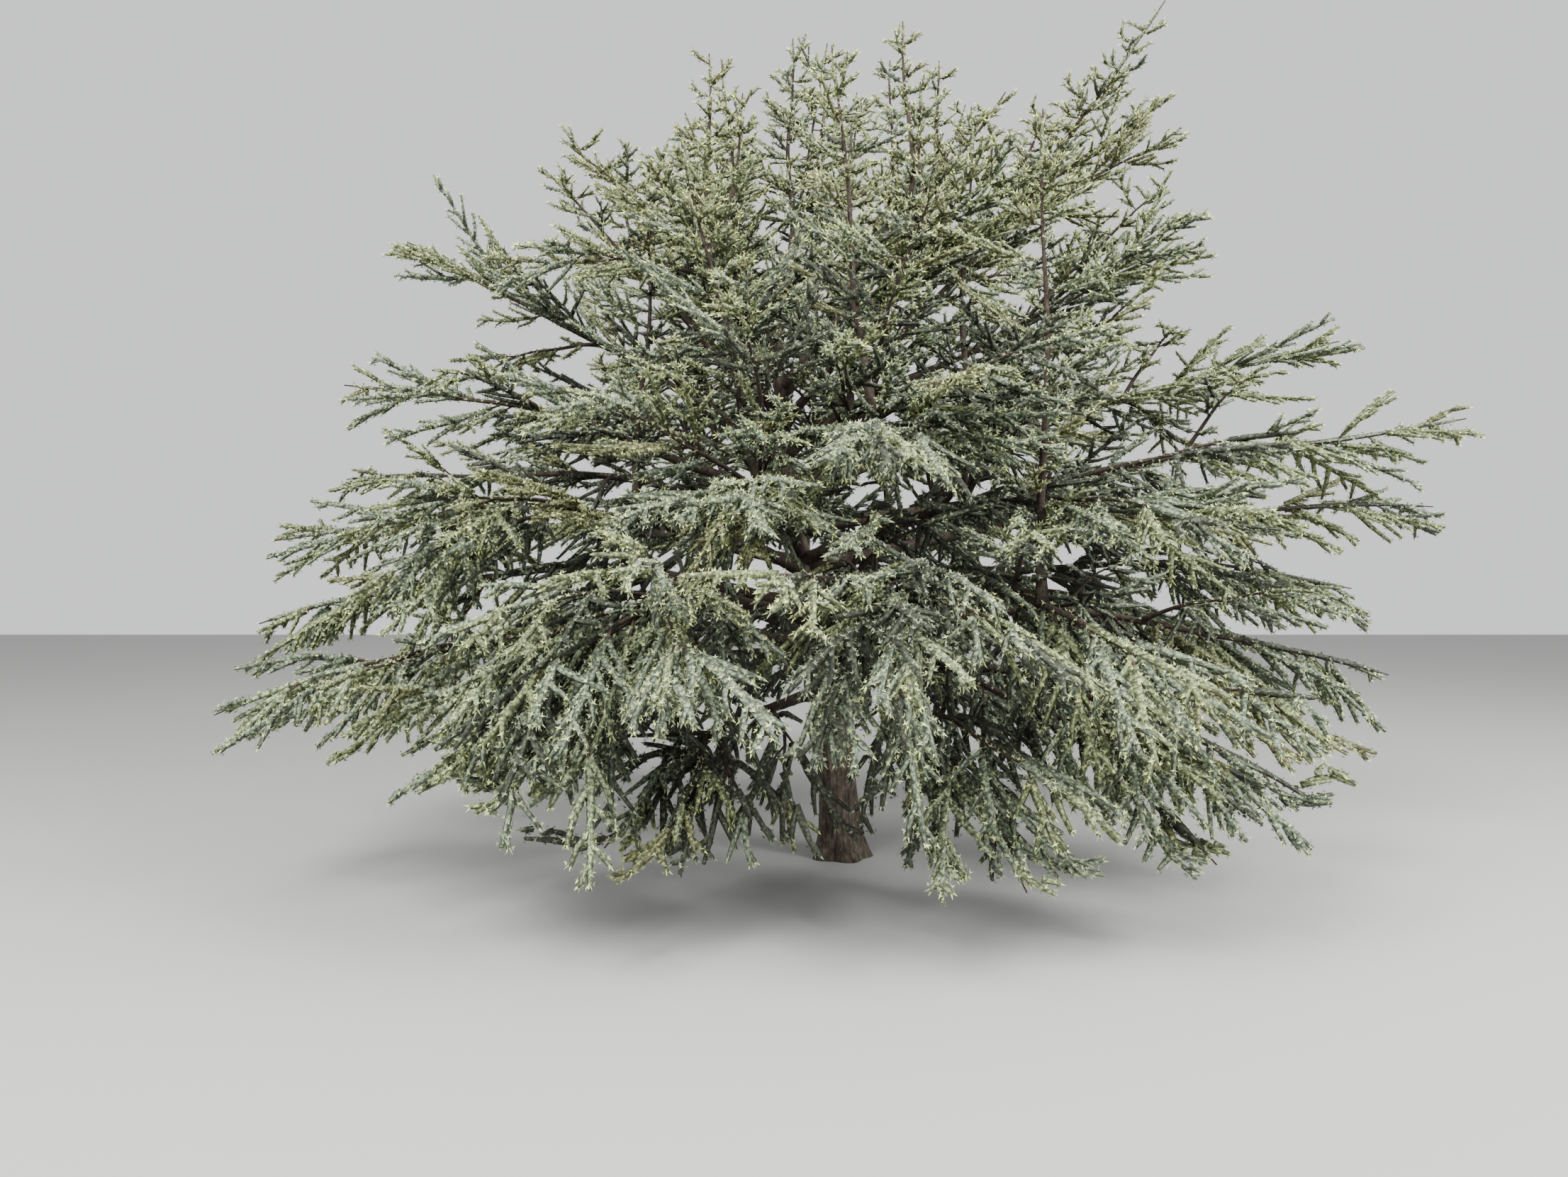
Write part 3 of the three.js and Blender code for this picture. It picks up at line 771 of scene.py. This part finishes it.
def side_branches(number, limb):
    start = max(limb.bare, FOLIAGE_START)
    spacing = SIDE_SPACING * (1 - TOP_CROWDING * limb.height_share)
    spacing *= 1 - STEM_CROWDING * limb.upright
    count = int(limb.length * (1 - start) / spacing)
    own = (np.arange(count) + chance.uniform(0.1, 0.9, count)) / count
    share = start + (FOLIAGE_END - start) * own
    young = (1 - YOUNG_BREADTH) * (share - start) / max(FULL_FROM - start, 0.05)
    young = np.clip(YOUNG_BREADTH + young, 0.0, 1.0)
    hand = np.where(np.arange(count) % 2 == 0, 1.0, -1.0)
    along, across, up = limb.frame_at(share)
    draw = chance.uniform(0, 1, count)
    hanging = draw < HANGING_SHARE - HANGING_FALL * limb.height_share
    rising = draw > RISING_FROM - RISING_FALL * limb.height_share
    fork = np.radians(SIDE_ANGLE - SIDE_CLOSING * own + chance.normal(0, 4, count))
    shelf = SHELF_TILT + SHELF_LIFT * limb.height_share
    tilt = chance.normal(shelf, SHELF_SPREAD + STEEP_SPREAD * abs(limb.steep), count)
    tilt = np.where(hanging, chance.uniform(*HANGING_TILTS, count), tilt)
    tilt = np.radians(np.where(rising, chance.uniform(*RISING_TILTS, count), tilt))
    sideways = across * (hand * np.cos(tilt))[:, None] + up * np.sin(tilt)[:, None]
    directions = unit(along * np.cos(fork)[:, None] + sideways * np.sin(fork)[:, None])
    round_stem = np.arange(count) * math.radians(GOLDEN_TURN) + chance.normal(0, 0.3, count)
    lift = chance.normal(*STEM_LIFT, count)
    level = np.stack([np.cos(round_stem), np.sin(round_stem), lift], axis=1)
    directions = unit(directions * (1 - limb.upright) + unit(level) * limb.upright)
    breadth = np.where(hanging | rising, limb.hang, limb.width) * fullness(share * 0.94)
    facing = smoothstep(-directions[:, 1], 0.3, 0.8) * (limb.tip[1] < 0.4) * (share < 0.75)
    pointed = 1 - STEM_POINTING * limb.upright * smoothstep(share, 0.55, 1.0)
    breadth = breadth * young * pointed * (1 - FRONT_THINNING * limb.upright * facing)
    across_share = np.sin(fork) * (1 - limb.upright) + limb.upright
    lengths = breadth * chance.uniform(*SIDE_LENGTHS, count) / across_share
    lengths = np.maximum(lengths, SIDE_SHORTEST)
    starts = limb.line(share)
    limits = np.full(count, limb.limit + 0.03 * limb.upright)
    sweep = along * SIDE_SWEEP
    lengths = inside_crown(starts, directions + sweep, lengths, limits)
    droop = SIDE_DROOP - DROOP_FALL * limb.height_share + chance.normal(0, 0.08, count)
    lines = shoot_lines(starts, directions, lengths, sweep, droop, SIDE_POINTS)
    return Shoots(lines, np.full(count, number), np.full(count, limb.height_share))


def joined(groups):
    names = ("lines", "owners", "habits")
    return Shoots(*[np.concatenate([getattr(group, name) for group in groups]) for name in names])


def deal_tints(shoots):
    """A colour class for each spray, by how high and how far out in the crown it lies."""
    middle = shoots.lines[:, shoots.lines.shape[1] // 2]
    outer = np.clip((exposure(middle) - OUTER_FROM) / OUTER_FADE, 0.0, 1.0)[:, None]
    high = np.clip((middle[:, 2] - HIGH_FROM) / HIGH_FADE, 0.0, 1.0)[:, None]
    # Painted shade: sprays inside the crown, and those in the hollow at its front, are dealt
    # mostly the dark classes.
    hollow = (middle - HOLLOW_PLACE) / HOLLOW_SIZE
    outer = outer * (1 - HOLLOW_SHADE * np.exp(-(hollow**2).sum(axis=1)))[:, None]
    inner, low, up = (np.array(mix) for mix in (SHADED_INNER_MIX, LOW_MIX, HIGH_MIX))
    mix = inner + (low + (up - low) * high - inner) * outer
    draw = chance.uniform(0, 1, (len(middle), 1))
    return np.minimum((draw > np.cumsum(mix, axis=1)).sum(axis=1), 4)


def fingers_of(parents):
    """Two rows of shoots on every parent, each about as long as what is left of the parent."""
    crowded = FINGER_SPACING * (1 - TOP_CROWDING * parents.habits)
    crowded = crowded * np.where(limb_reaches[parents.owners] < HEART, HEART_SPACING, 1.0)
    counts = np.maximum((parents.lengths * 0.95 / crowded).astype(int), 2)
    which = np.repeat(np.arange(len(counts)), counts)
    order = np.arange(len(which)) - np.repeat(np.cumsum(counts) - counts, counts)
    share = 0.07 + 0.88 * (order + chance.uniform(0.15, 0.85, len(which))) / counts[which]
    hand = np.where(order % 2 == 0, 1.0, -1.0)
    starts, along = parents.point_at(which, share)
    habits = parents.habits[which]
    level = unit(np.cross(along, [0.0, 0.0, 1.0]) + 1e-6)
    up = np.cross(level, along)
    roll = np.radians(chance.normal(0, 12, len(parents.lines)))[which]
    across = level * np.cos(roll)[:, None] + up * np.sin(roll)[:, None]
    up = np.cross(across, along)
    fork = np.radians(chance.normal(*FINGER_ANGLE, len(which)))
    tilt = np.radians(chance.normal(FINGER_TILT + FINGER_LIFT * habits, 19, len(which)))
    sideways = across * (hand * np.cos(tilt))[:, None] + up * np.sin(tilt)[:, None]
    directions = unit(along * np.cos(fork)[:, None] + sideways * np.sin(fork)[:, None])
    left = parents.lengths[which] * (1 - share)
    lengths = FINGER_SHARE * (1 - 0.3 * habits) * left + 0.05 - 0.01 * habits
    lengths = lengths * chance.uniform(*FINGER_LENGTHS, len(which))
    lengths = np.clip(lengths, FINGER_SHORTEST, FINGER_LONGEST)
    limits = limb_limits[parents.owners[which]] + 0.01
    lengths = np.maximum(inside_crown(starts, directions, lengths, limits), 0.03)
    droop = 0.06 - 0.16 * habits + chance.normal(0, 0.06, len(which))
    bend = along * FINGER_SWEEP + across * chance.normal(0, 0.16, (len(which), 1))
    lines = shoot_lines(starts, directions, lengths, bend, droop, FINGER_POINTS)
    kept = lengths > FINGER_LEAST
    owners, tints = parents.owners[which], parents.tints[which]
    return Shoots(lines[kept], owners[kept], habits[kept], tints[kept])


def shoot_material(name, colour):
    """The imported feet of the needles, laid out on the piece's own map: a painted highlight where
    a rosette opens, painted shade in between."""
    material = bpy.data.materials.new(name)
    material.use_nodes = True
    tree = material.node_tree
    shader = tree.nodes["Principled BSDF"]
    feet = Field(tree)
    spot = feet.node("ShaderNodeUVMap", {"uv_map": OWN_MAP})
    strip = feet.node("ShaderNodeSeparateXYZ", (), {"Vector": spot}, "X")
    strip = strip * (STRIPS_OF_TINT * len(SHOOT_COLOURS))
    turn = feet.calculate("FRACT", strip, 0.0) - STRIP_EDGE
    turn = turn * (2 * math.pi / (1 - 2 * STRIP_EDGE))
    along = feet.node("ShaderNodeSeparateXYZ", (), {"Vector": spot}, "Y") * STRIP_LENGTH
    values = {
        "X": feet.calculate("COSINE", turn, 0.0) * STRIP_GIRTH,
        "Y": feet.calculate("SINE", turn, 0.0) * STRIP_GIRTH,
        "Z": along + feet.calculate("FLOOR", strip, 0.0) * STRIP_GAP,
    }
    place = feet.node("ShaderNodeCombineXYZ", (), values)
    values = {"Vector": place, "Scale": 1 / ROSETTE_SIZE}
    apart = feet.node("ShaderNodeTexVoronoi", (), values, "Distance")
    specks = feet.noise(place, FEET_GRAIN / ROSETTE_SIZE, 1.0)
    height = 0.62 + 0.9 * specks - apart
    # A darker copy of the colour is painted shade in the furrows, a paler copy is a painted
    # highlight on the crests.
    dark = tuple(FURROW_PAINTED_SHADE * part for part in colour) + (1.0,)
    pale = tuple(CREST_PAINTED_HIGHLIGHT * part for part in colour) + (1.0,)
    painted_shade_share = height.ramp(*PAINTED_SHADE_HEIGHTS)
    painted_highlight_share = height.ramp(*PAINTED_HIGHLIGHT_HEIGHTS)
    shown = feet.blend(painted_highlight_share, feet.blend(painted_shade_share, dark, (*colour, 1.0)), pale)
    tree.links.new(shown.socket, shader.inputs["Base Color"])
    values = {"Height": height, "Strength": 0.9, "Distance": FEET_RELIEF}
    tree.links.new(feet.node("ShaderNodeBump", (), values).socket, shader.inputs["Normal"])
    shader.inputs["Roughness"].default_value = FEET_ROUGHNESS
    return material


def tapered(shoots, root_radius, tip_radius, sides):
    """The points, corners and face starts of a slim closed tube along every shoot."""
    rings = shoots.lines.shape[1]
    share = np.linspace(0.0, 1.0, rings)[None, :]
    thick = root_radius * np.clip(shoots.lengths / SLIM_UNDER, SLIM, 1.0)[:, None]
    radii = tip_radius + (thick - tip_radius) * (1 - share) ** SHOOT_TAPER
    radii = radii * (1 - TOP_FINENESS * shoots.habits[:, None])
    radii = radii * chance.uniform(*GIRTH_VARIATION, radii.shape)
    points = tube_rings(shoots.lines, radii, sides)[0]
    return (points.reshape(-1, 3), *tube_faces(len(shoots.lines), rings, sides))


def strip_spots(shoots, sides):
    """Where the corners of the shoots' tubes lie on the map: strips for each tint, with the way
    round a shoot across the strip and the way along it up the strip."""
    steps = shoots.lines.shape[1] - 1
    side, step = np.meshgrid(np.arange(sides), np.arange(steps))
    end = np.arange(sides)
    across = np.stack([side, side + 1, side + 1, side], axis=-1).ravel()
    along = np.stack([step, step, step + 1, step + 1], axis=-1).ravel() / steps
    across = np.concatenate([across, end[::-1], end]) / sides
    along = np.concatenate([along, 0.1 * (end[::-1] % 2), 1 - 0.1 * (end % 2)])
    order = np.arange(len(shoots.lines))
    strip = shoots.tints * STRIPS_OF_TINT + order % STRIPS_OF_TINT
    drawn = shoots.lengths / (STRIP_LENGTH * (1 - TOP_FINENESS * shoots.habits))
    drawn = np.minimum(drawn, STRIP_USED)
    foot = STRIP_FOOT + (STRIP_USED - drawn) * (order * 0.618034 % 1.0)
    across = strip[:, None] + STRIP_EDGE + (1 - 2 * STRIP_EDGE) * across
    across = across / (STRIPS_OF_TINT * len(SHOOT_COLOURS))
    return np.stack([across, foot[:, None] + drawn[:, None] * along], axis=-1)


def outer_part(shoots, first_share, points, chosen=slice(None)):
    """The chosen shoots from a share of their length to their tips, with that many points."""
    which = np.repeat(np.arange(len(shoots.lines)), points)
    share = np.tile(np.linspace(first_share, 1.0, points), len(shoots.lines))
    lines = shoots.point_at(which, share)[0].reshape(-1, points, 3)
    parts = (lines, shoots.owners, shoots.habits, shoots.tints)
    return Shoots(*[part[chosen] for part in parts])


def ends_of_limbs():
    """The last stretch of every limb, which bears needles of its own."""
    starts = [LIMB_END_FROM + LIMB_END_FROM * limb.upright for limb in limbs]
    lines = np.array([
        limb.line(np.linspace(start, 0.985, 14)) for limb, start in zip(limbs, starts)
    ])
    numbers = np.arange(len(limbs))
    habits = np.array([limb.height_share for limb in limbs])
    girth = np.array([LIMB_END_GIRTH**LIMB_TAPER * limb.wood for limb in limbs])
    return Shoots(lines, numbers, habits, girth=girth)


side_shoots = joined([side_branches(number, limb) for number, limb in enumerate(limbs)])
side_shoots.tints = deal_tints(side_shoots)
finger_shoots = fingers_of(side_shoots)
for shoots in (side_shoots, finger_shoots):
    shoots.girth = CORE_RADIUS * (1 - TOP_FINENESS * shoots.habits)
tip_shoots = ends_of_limbs()
tip_shoots.tints = deal_tints(tip_shoots)

side_paint = bark_material(
    "young_bark", (1.0, 1.0, 1.0), 140.0, (0.024, 0.015, 0.010, 1), (0.070, 0.046, 0.033, 1),
    (0.12, 0.088, 0.068, 1), (0.068, 0.062, 0.036, 1), 0.4
)
side_feet = Shoots(side_shoots.lines[:, :3], side_shoots.owners, side_shoots.habits)
side_wood = make_piece(
    "side_branches", *tapered(side_feet, SIDE_ROOT_RADIUS, SIDE_TIP_RADIUS, 4), [side_paint],
    smooth=True
)
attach(side_wood, "root")

finger_paints = [shoot_material(name, colour) for name, colour in SHOOT_COLOURS]
low = finger_shoots.habits < BRANCHLET_SPLIT
for name, shoots in (
    ("low_branchlets", outer_part(finger_shoots, 0.0, FINGER_POINTS, low)),
    ("high_branchlets", outer_part(finger_shoots, 0.0, FINGER_POINTS, ~low)),
    ("branch_ends", outer_part(side_shoots, 0.22, 4)),
    ("limb_ends", outer_part(tip_shoots, 0.66, 5)),
):
    points, corners, starts = tapered(shoots, CORE_RADIUS, CORE_TIP_RADIUS, CORE_SIDES)
    slots = np.repeat(shoots.tints, (shoots.lines.shape[1] - 1) * CORE_SIDES + 2)
    spots = strip_spots(shoots, CORE_SIDES)
    piece = make_piece(name, points, corners, starts, finger_paints, slots, True, spots)
    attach(piece, "root")


# The needles. They are stiff and waxy, glaucous grey-blue on old growth and pale yellow-green
# where new growth opens. They stand in rosettes on short spurs all along the shoots, and in a
# brush at each tip. Each needle is one pointed face; the colours are dealt out by spray.
# Needles that face up and the brushes at the tips take a paler copy of their spray's colour,
# which is painted light, and the darkest colour is painted shade for sprays in the crown's shade.
ROSETTE_SPACING = 0.0168
ROSETTE_TURN = 2.399963
ROSETTE_OPENING = (45, 80)
NEEDLES = 4
NEEDLE_LENGTH = 0.0165
TOP_SHORTER = 0.30
NEEDLE_WIDTH = 0.0085
NEEDLE_ROUGHNESS = 0.55
NEEDLE_SHEEN = 0.35
SHORT_SHOOT = 0.002
SPUR_OUT = 0.90
SPUR_FORWARD = 0.40
SPUR_LIFT = (0.0, 0.0, 0.22)
TIP_NEEDLES = 4
TIP_NEEDLE = 0.024
TIP_WIDTH = 0.0100
TIP_ANGLE = (30.0, 6.0)
TIP_FOOT = 0.006
# New growth is dealt more often to needles that face up than to those that face down: real new
# growth, and a painted highlight on the upper side too.
NEW_GROWTH_AND_HIGHLIGHT_SHARES = (0.42, 0.08)
NEW_GROWTH_FROM = 0.68
NEW_BRUSHES = 2
INNER_UP_TO = 0.54
INNER_SPARSER = 5.0
BACK_SPARSER = 0.25
# The first needle colour, a dark blue-green, is painted shade: it goes on the sprays dealt the
# shaded class.
NEEDLE_COLOURS = [
    ("painted_shade_blue_green", (0.052, 0.062, 0.036, 1)),
    ("grey_blue", (0.160, 0.194, 0.118, 1)),
    ("grey_green", (0.218, 0.248, 0.108, 1)),
    ("pale_glaucous", (0.296, 0.340, 0.176, 1)),
    ("olive", (0.240, 0.250, 0.110, 1)),
    ("new_growth", (0.480, 0.530, 0.210, 1)),
]
# For each spray's colour class, the paler class painted as light on its needles that face up and
# on its tip brushes.
PAINTED_LIGHT_TINTS = np.array([1, 3, 3, 3, 2])
NEW_GROWTH = 5


def needle_material(name, colour):
    material = bpy.data.materials.new("needles_" + name)
    material.use_nodes = True
    shader = material.node_tree.nodes["Principled BSDF"]
    shader.inputs["Base Color"].default_value = colour
    shader.inputs["Roughness"].default_value = NEEDLE_ROUGHNESS
    shader.inputs["Specular IOR Level"].default_value = NEEDLE_SHEEN
    return material


def steps_along(shoots, first_share):
    """Evenly spaced places on each shoot, further apart behind and inside the crown."""
    own = exposure(shoots.lines[:, -1]) / limb_reaches[shoots.owners]
    inner = (own < INNER_UP_TO) | (limb_reaches[shoots.owners] < HEART)
    behind = BACK_SPARSER * (shoots.lines[:, -1, 1] > 0.4)
    step = np.where(inner, INNER_SPARSER, 1.0 + behind) * ROSETTE_SPACING
    counts = np.maximum((shoots.lengths * (1 - first_share) / step + 0.5).astype(int), 1)
    which = np.repeat(np.arange(len(counts)), counts)
    order = np.arange(len(which)) - np.repeat(np.cumsum(counts) - counts, counts)
    share = first_share + (1 - first_share) * (order + 0.5) / counts[which]
    share = share + chance.normal(0, 0.12, len(which)) / counts[which]
    return which, order, np.clip(share, 0.0, 1.0)


def around(along, turn):
    """Directions square to a shoot, turned round it, and square to both."""
    first = unit(np.cross(along, [0.31, 0.17, 0.94]))
    second = np.cross(along, first)
    radial = first * np.cos(turn)[:, None] + second * np.sin(turn)[:, None]
    return radial, np.cross(along, radial)


def rosettes(shoots, first_share):
    """The corners, colour classes and limbs of rosettes of needles that open from spurs."""
    which, order, share = steps_along(shoots, first_share)
    places, along = shoots.point_at(which, share)
    turn = order * ROSETTE_TURN + which * 1.7 + chance.normal(0, 0.4, len(which))
    radial = around(along, turn)[0]
    own_share = exposure(places) / limb_reaches[shoots.owners[which]]
    outer = np.clip((own_share - 0.50) / 0.40, 0.0, 1.0)
    likely = outer * np.where(radial[:, 2] > 0.0, *NEW_GROWTH_AND_HIGHLIGHT_SHARES) * (0.35 + 0.65 * share)
    new = (shoots.tints[which] != 0) & (chance.uniform(0, 1, len(which)) < likely)
    own = shoots.tints[which]
    # Needles that face up take the paler copy of their spray's colour, painted light; those facing
    # down keep the spray's own, darker colour.
    tints = np.where(radial[:, 2] > -0.3, PAINTED_LIGHT_TINTS[own], own)
    tints = np.where(new, NEW_GROWTH, tints)
    spur = unit(radial * SPUR_OUT + along * SPUR_FORWARD + np.array(SPUR_LIFT))
    girth = np.broadcast_to(shoots.girth, len(shoots.lines))[which] * (0.86 - 0.26 * share)
    bases = places + radial * girth[:, None] + spur * SHORT_SHOOT
    one = unit(np.cross(spur, [0.53, -0.62, 0.58]))
    two = np.cross(spur, one)
    size = (len(which), NEEDLES)
    azimuth = chance.uniform(0, 2 * math.pi, len(which))[:, None]
    azimuth = azimuth + (np.arange(NEEDLES) + chance.uniform(-0.3, 0.3, size)) * (
        2 * math.pi / NEEDLES
    )
    opening = np.radians(chance.uniform(*ROSETTE_OPENING, size))
    directions = (
        spur[:, None, :] * np.cos(opening)[..., None]
        + one[:, None, :] * (np.sin(opening) * np.cos(azimuth))[..., None]
        + two[:, None, :] * (np.sin(opening) * np.sin(azimuth))[..., None]
    )
    finer = 1 - TOP_SHORTER * shoots.habits[which][:, None, None]
    lengths = NEEDLE_LENGTH * finer * chance.uniform(0.8, 1.15, (*size, 1))
    flat = np.cross(directions, spur[:, None, :]) + 0.35 * chance.normal(0, 1, (*size, 3))
    flat = unit(flat) * NEEDLE_WIDTH / 2
    feet = bases[:, None, :] + 0 * flat
    faces = np.stack([feet - flat, feet + flat, feet + directions * lengths], axis=2)
    owners = np.repeat(shoots.owners[which], NEEDLES)
    return faces.reshape(-1, 3, 3), np.repeat(tints, NEEDLES), owners


def end_needles(shoots):
    """The corners, colour classes and limbs of the brush of needles at the tip of each shoot."""
    which = np.repeat(np.arange(len(shoots.lines)), TIP_NEEDLES)
    places, along = shoots.point_at(which, np.full(len(which), 0.97))
    radial, flat = around(along, np.arange(len(which)) * 2 * math.pi / TIP_NEEDLES)
    angle = np.radians(chance.normal(*TIP_ANGLE, len(which)))[:, None]
    directions = along * np.cos(angle) + radial * np.sin(angle)
    lengths = TIP_NEEDLE * chance.uniform(0.8, 1.15, (len(which), 1))
    feet = places + radial * TIP_FOOT
    half_width = flat * TIP_WIDTH / 2
    faces = np.stack([feet - half_width, feet + half_width, feet + directions * lengths], axis=1)
    outermost = exposure(places) / limb_reaches[shoots.owners[which]] > NEW_GROWTH_FROM
    new = outermost & (shoots.tints[which] != 0) & (which % NEW_BRUSHES != 0)
    # Tip brushes that are not new growth take the paler copy of their spray's colour, painted
    # light.
    tints = np.where(new, NEW_GROWTH, PAINTED_LIGHT_TINTS[shoots.tints[which]])
    return faces, tints, shoots.owners[which]


groups = []
for shoots, first_share in ((side_shoots, 0.10), (finger_shoots, 0.04), (tip_shoots, 0.0)):
    groups.append(end_needles(shoots))
    groups.append(rosettes(shoots, first_share))
needles, tints, numbers = (np.concatenate(parts) for parts in zip(*groups))
middles = np.array([limb.line(0.7) for limb in limbs])
apart = np.linalg.norm(middles[:, None] - middles[None, : len(main_limbs)], axis=2)
carriers = apart.argmin(axis=1)[numbers]
needle_paints = [needle_material(name, colour) for name, colour in NEEDLE_COLOURS]
for number, limb in enumerate(main_limbs):
    mine = carriers == number
    points = needles[mine].reshape(-1, 3)
    starts = np.arange(0, len(points), 3)
    corners = np.arange(len(points))
    piece = make_piece("needles_" + limb.name, points, corners, starts, needle_paints, tints[mine])
    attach(piece, "root")
    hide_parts("foliage_" + limb.name)
